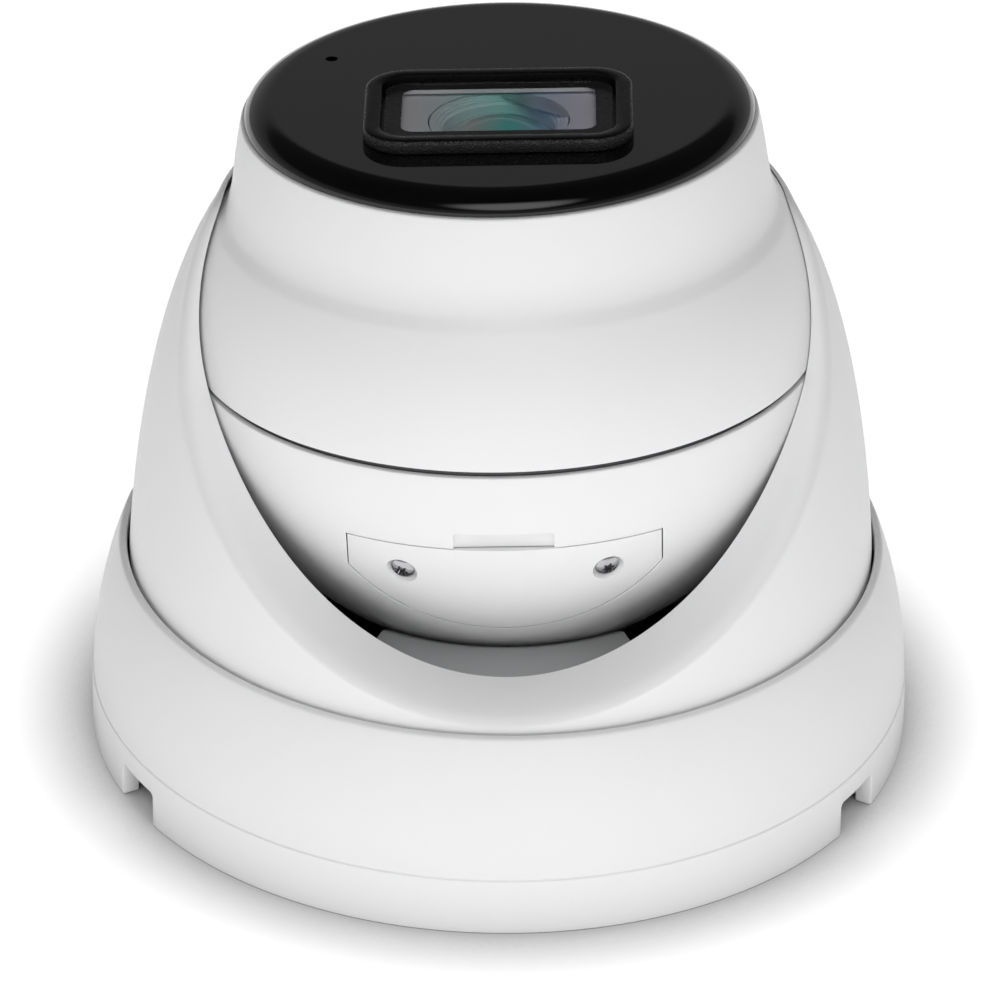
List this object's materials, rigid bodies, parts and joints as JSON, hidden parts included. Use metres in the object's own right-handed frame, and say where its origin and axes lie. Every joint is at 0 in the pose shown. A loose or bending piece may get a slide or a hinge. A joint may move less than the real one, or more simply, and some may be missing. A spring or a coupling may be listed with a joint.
{
  "type": "security camera",
  "caption": "Turret security camera: a ball with a windowed black face pans, tilts and rolls in a hooded white cover on a round base.",
  "frame": {"origin": "centre of the mounting face on the surface that the base stands on", "axes": "+Z out of the mounting face, along the lens at rest; -Y towards the low side of the cover's opening and the card hatch; +X to the right when seen from there"},
  "size_m": [0.122, 0.122, 0.1058],
  "materials": {
    "white_paint": "satin white powder paint",
    "plate_metal": "satin pale grey paint",
    "black_gloss": "polished black",
    "black_plastic": "fine textured black",
    "grey_plastic": "matt grey",
    "nylon": "natural moulded",
    "rubber": "matt black",
    "steel": "bright plated",
    "aluminium": "plain",
    "circuit_board": "solder mask",
    "glass": "coated optical glass",
    "emitter": "clear moulded"
  },
  "bodies": {
    "base": {"mounting_plate": "plate_metal", "trim_ring": "white_paint", "wall_gasket": "rubber", "swivel_bearing": "nylon", "cable_grommet": "rubber", "ring_hook_1": "nylon", "ring_hook_2": "nylon", "ring_hook_3": "nylon"},
    "turret": {"dome_cover": "white_paint", "socket_ring": "black_plastic", "friction_pad_1": "grey_plastic", "friction_pad_2": "grey_plastic", "friction_pad_3": "grey_plastic", "socket_screw_1": "steel", "socket_screw_2": "steel", "socket_screw_3": "steel"},
    "hub": {"rotation_hub": "black_plastic", "cable_gland": "rubber"},
    "ball": {"front_shell": "white_paint", "rear_shell": "white_paint", "shell_seal": "rubber", "shell_screw_1": "steel", "shell_screw_2": "steel", "shell_screw_3": "steel", "front_panel": "black_gloss", "panel_gasket": "rubber", "window_bezel": "black_plastic", "window_glass": "glass", "lens_barrel": "black_plastic", "lens_element_front": "glass", "lens_element_rear": "glass", "lens_holder": "black_plastic", "image_sensor": "black_gloss", "sensor_board": "circuit_board", "heat_spreader": "aluminium", "main_board": "circuit_board", "processor": "black_plastic", "thermal_pad": "grey_plastic", "light_board": "circuit_board", "light_emitter_1": "emitter", "light_emitter_2": "emitter", "light_emitter_3": "emitter", "light_emitter_4": "emitter", "microphone": "aluminium", "microphone_boot": "rubber", "hub_retainer": "aluminium", "wave_washer": "steel", "hatch_cover": "white_paint", "hatch_gasket": "rubber", "hatch_screw_left": "steel", "hatch_screw_right": "steel", "card_board": "circuit_board", "card_slot": "steel", "reset_switch": "black_plastic"},
    "button": {"reset_button": "rubber"}
  },
  "joints": [
    {"name": "pan", "type": "hinge", "parent": "base", "child": "turret", "pos_m": [0, 0, 0.01], "axis": [0, 0, 1], "range_deg": [-180, 180]},
    {"name": "tilt", "type": "hinge", "parent": "turret", "child": "hub", "pos_m": [0.00015, 0, 0.0633], "axis": [0.9998, 0.0175, 0], "range_deg": [0, 78]},
    {"name": "roll", "type": "hinge", "parent": "hub", "child": "ball", "pos_m": [0.00015, 0, 0.0633], "axis": [-0.0338, 0.0654, 0.9973], "range_deg": [-180, 180]},
    {"name": "reset_press", "type": "slide", "parent": "ball", "child": "button", "axis": [0.0022, 0.9979, -0.0654], "range_m": [0, 0.0005], "stiffness_N_per_m": 600}
  ]
}
